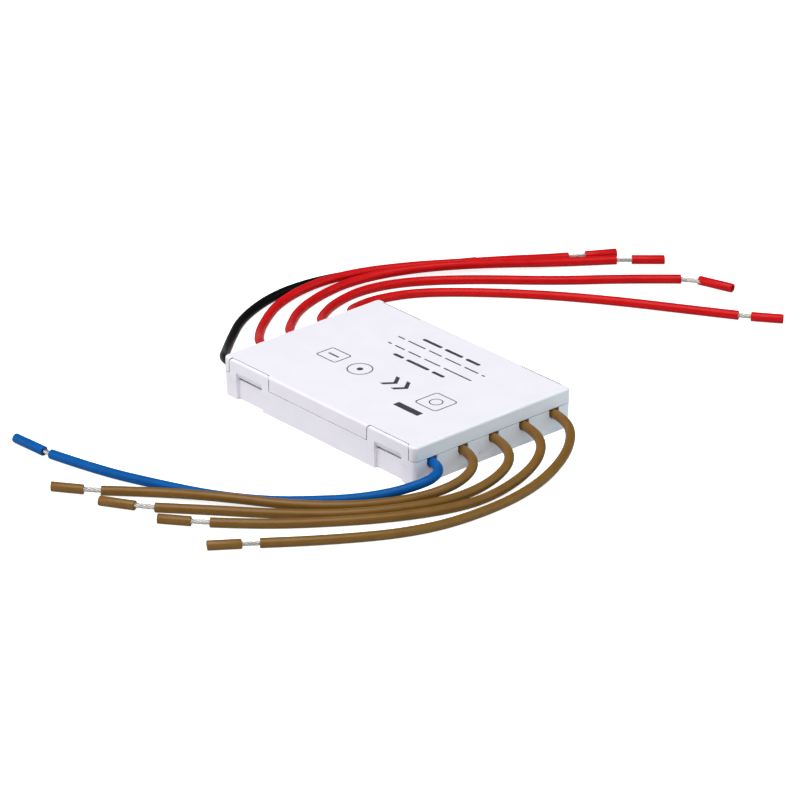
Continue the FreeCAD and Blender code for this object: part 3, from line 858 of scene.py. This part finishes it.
def chip_ends():
    """Tinned end caps of resistors and capacitors and the solder that holds them."""
    bm = bmesh.new()
    for row in row_places:
        for x, shift, length, width, height in chips:
            y = row + shift
            half = width / 2 + plating
            levels = (board_top, board_top + height + plating)
            for way in (-1, 1):
                end = x + way * (length / 2 + plating)
                inner = x + way * (length / 2 - chip_end)
                add_block(bm, *sorted((inner, end)), y - half, y + half, levels)
                add_fillet(bm, end, way, y, width, fillet_rise * height)
    bmesh.ops.recalc_face_normals(bm, faces=bm.faces)
    piece = mesh_piece("chip_end_caps", bm, joint_tin, "housing")
    return piece


def diode_tabs():
    """Flat tinned tabs at the diodes' ends."""
    bm = bmesh.new()
    levels = (board_top, board_top + tab_thickness)
    for y in row_places:
        for way in (-1, 1):
            inner = diode_x + way * (diode_half - tab_inside)
            end = diode_x + way * (diode_half + tab_reach)
            add_block(bm, *sorted((inner, end)), y - tab_width / 2, y + tab_width / 2, levels)
    piece = mesh_piece("diode_tabs", bm, lead_tin, "housing")
    return piece


def copper_runs():
    """Copper runs under the solder mask, which stand a little above the laminate."""
    bm = bmesh.new()
    for row in row_places:
        for run in row_runs:
            add_slab(bm, line_outline([(x, row + y) for x, y in run], run_width), run_levels)
    for run in common_runs:
        add_slab(bm, line_outline(run, 2 * run_width), run_levels)
    bmesh.ops.recalc_face_normals(bm, faces=bm.faces)
    piece = mesh_piece("copper_runs", bm, copper_mask, "housing")
    return piece


def tinned_pads():
    """Bare tinned pads at the wires and the optocouplers' feet, and rings round the holes."""
    bm = bmesh.new()
    for side in (-1, 1):
        for place in range(5):
            pad = rounded_outline(side * pad_x, slot_y(place), *wire_pad)
            add_slab(bm, pad, pad_levels)
    for row in row_places:
        for side in (-1, 1):
            for step in (-1, 1):
                pad = rounded_outline(side * foot_x, row + step * foot_y, *foot_pad)
                add_slab(bm, pad, pad_levels)
    vias = common_vias + [(x, row + y) for row in row_places for x, y in row_vias]
    for x, y in vias:
        ring = (x, y, 2 * via_radius, 2 * via_radius, via_radius)
        bore = rounded_outline(*ring, inset=via_radius - via_bore)
        add_band(bm, rounded_outline(*ring), bore, pad_levels)
    piece = mesh_piece("tinned_pads", bm, joint_tin, "housing")
    return piece


def wire_solder():
    """A rounded cone of solder over each wire's tail, in place of the CAD node's plain ridges."""
    bm = bmesh.new()
    for side in (-1, 1):
        for place in range(5):
            y = slot_y(place)
            rings = []
            for share, rise in solder_cone:
                rings.append([bm.verts.new(spot(
                    side * pad_x + share * cone_length / 2 * math.cos(angle),
                    y + share * cone_width / 2 * math.sin(angle),
                    board_top + rise * cone_rise)) for angle in angles_round(cone_sides)])
            bm.faces.new(rings[0][::-1])
            bm.faces.new(rings[-1])
            for low, high in zip(rings, rings[1:]):
                add_walls(bm, low, high)
    piece = mesh_piece("wire_solder_cones", bm, joint_tin, "housing", round_crease_angle)
    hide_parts("solder_joints")
    return piece


def board_print():
    """White marks: a line at each end of the optocouplers, a dot at their first foot, and a band
    across the diodes."""
    bm = bmesh.new()
    for y in row_places:
        for way in (-1, 1):
            line = rounded_outline(way * coupler_line_x, y, coupler_line_width, coupler_line_length,
                                   coupler_line_radius)
            add_slab(bm, line, ink_levels)
        dot = rounded_outline(coupler_dot[0], y + coupler_dot[1], coupler_dot_width,
                              coupler_dot_width, coupler_dot_width / 2)
        add_slab(bm, dot, coupler_mark_levels)
        add_block(bm, diode_x - band_outer, diode_x - band_inner, y - band_half, y + band_half,
                  diode_mark_levels)
    return mesh_piece("board_print", bm, board_ink, "housing")


chip_ends()
diode_tabs()
copper_runs()
tinned_pads()
wire_solder()
board_print()

dress(nodes["circuit_board"], board_mask)
dress(nodes["optocoupler_leads"], lead_tin)
dress(nodes["series_resistors"], resistor_glaze)
dress(nodes["output_resistors"], resistor_glaze)
dress(nodes["rectifier_diodes"], epoxy_black)
dress(nodes["smoothing_capacitors"], capacitor_ceramic)
for number in (1, 2, 3, 4):
    dress(nodes["optocoupler_" + str(number)], epoxy_black)


# Studio: the camera's figures in millimetres, floor and softboxes in metres and watts

lens_sensor = 36
lens_length = 202.8
camera_place = (538.870, -480.210, 344.994)
camera_right = (0.66603, 0.74593, 0.0)
camera_up = (-0.32022, 0.28592, 0.90317)
camera_back = (0.67370, -0.60153, 0.42929)
clip_near = 10
clip_far = 20000
floor_reach = 3.0
air_strength = 0.14
softboxes = [
    # name, place, size, power and colour
    ("key_softbox", (0.2, -0.5, 1.55), 1.5, 25.4, "#FFFFFF"),
    ("left_softbox", (-0.9, -1.3, 0.6), 1.8, 13.6, "#F6F6FB"),
    ("right_softbox", (1.4, 0.75, 0.6), 2.2, 14.4, "#CAFAFF"),
]


def place_camera():
    """The photograph's viewpoint: a long lens, looking down on the near +X corner."""
    view = bpy.data.cameras.new("camera")
    view.sensor_width = lens_sensor
    view.lens = lens_length
    view.clip_start = mm(clip_near)
    view.clip_end = mm(clip_far)
    camera = add_object("camera", view)
    turn = Matrix((camera_right, camera_up, camera_back)).transposed().to_4x4()
    camera.matrix_world = Matrix.Translation(spot(*camera_place)) @ turn
    bpy.context.scene.camera = camera


def softbox(name, place, size, power, colour):
    """A large square area light aimed at the object."""
    lamp = bpy.data.lights.new(name, "AREA")
    lamp.shape = "SQUARE"
    lamp.size = size
    lamp.energy = power
    lamp.color = linear(colour)[:3]
    light = add_object(name, lamp)
    light.location = place
    light.rotation_euler = (-light.location).to_track_quat("-Z", "Y").to_euler()


def lay_floor():
    """White paper under everything."""
    bm = bmesh.new()
    bmesh.ops.create_grid(bm, x_segments=1, y_segments=1, size=floor_reach)
    floor = add_object("backdrop", mesh_from("backdrop", bm))
    dress(floor, paper)


def light_world(colour, strength):
    """Even light from all round."""
    world = bpy.data.worlds.new("studio_air")
    world.use_nodes = True
    air = world.node_tree.nodes["Background"]
    air.inputs["Color"].default_value = linear(colour)
    air.inputs["Strength"].default_value = strength
    bpy.context.scene.world = world
    bpy.context.scene.view_settings.view_transform = "Standard"


place_camera()
lay_floor()
light_world("#FFFFFF", air_strength)
for box in softboxes:
    softbox(*box)
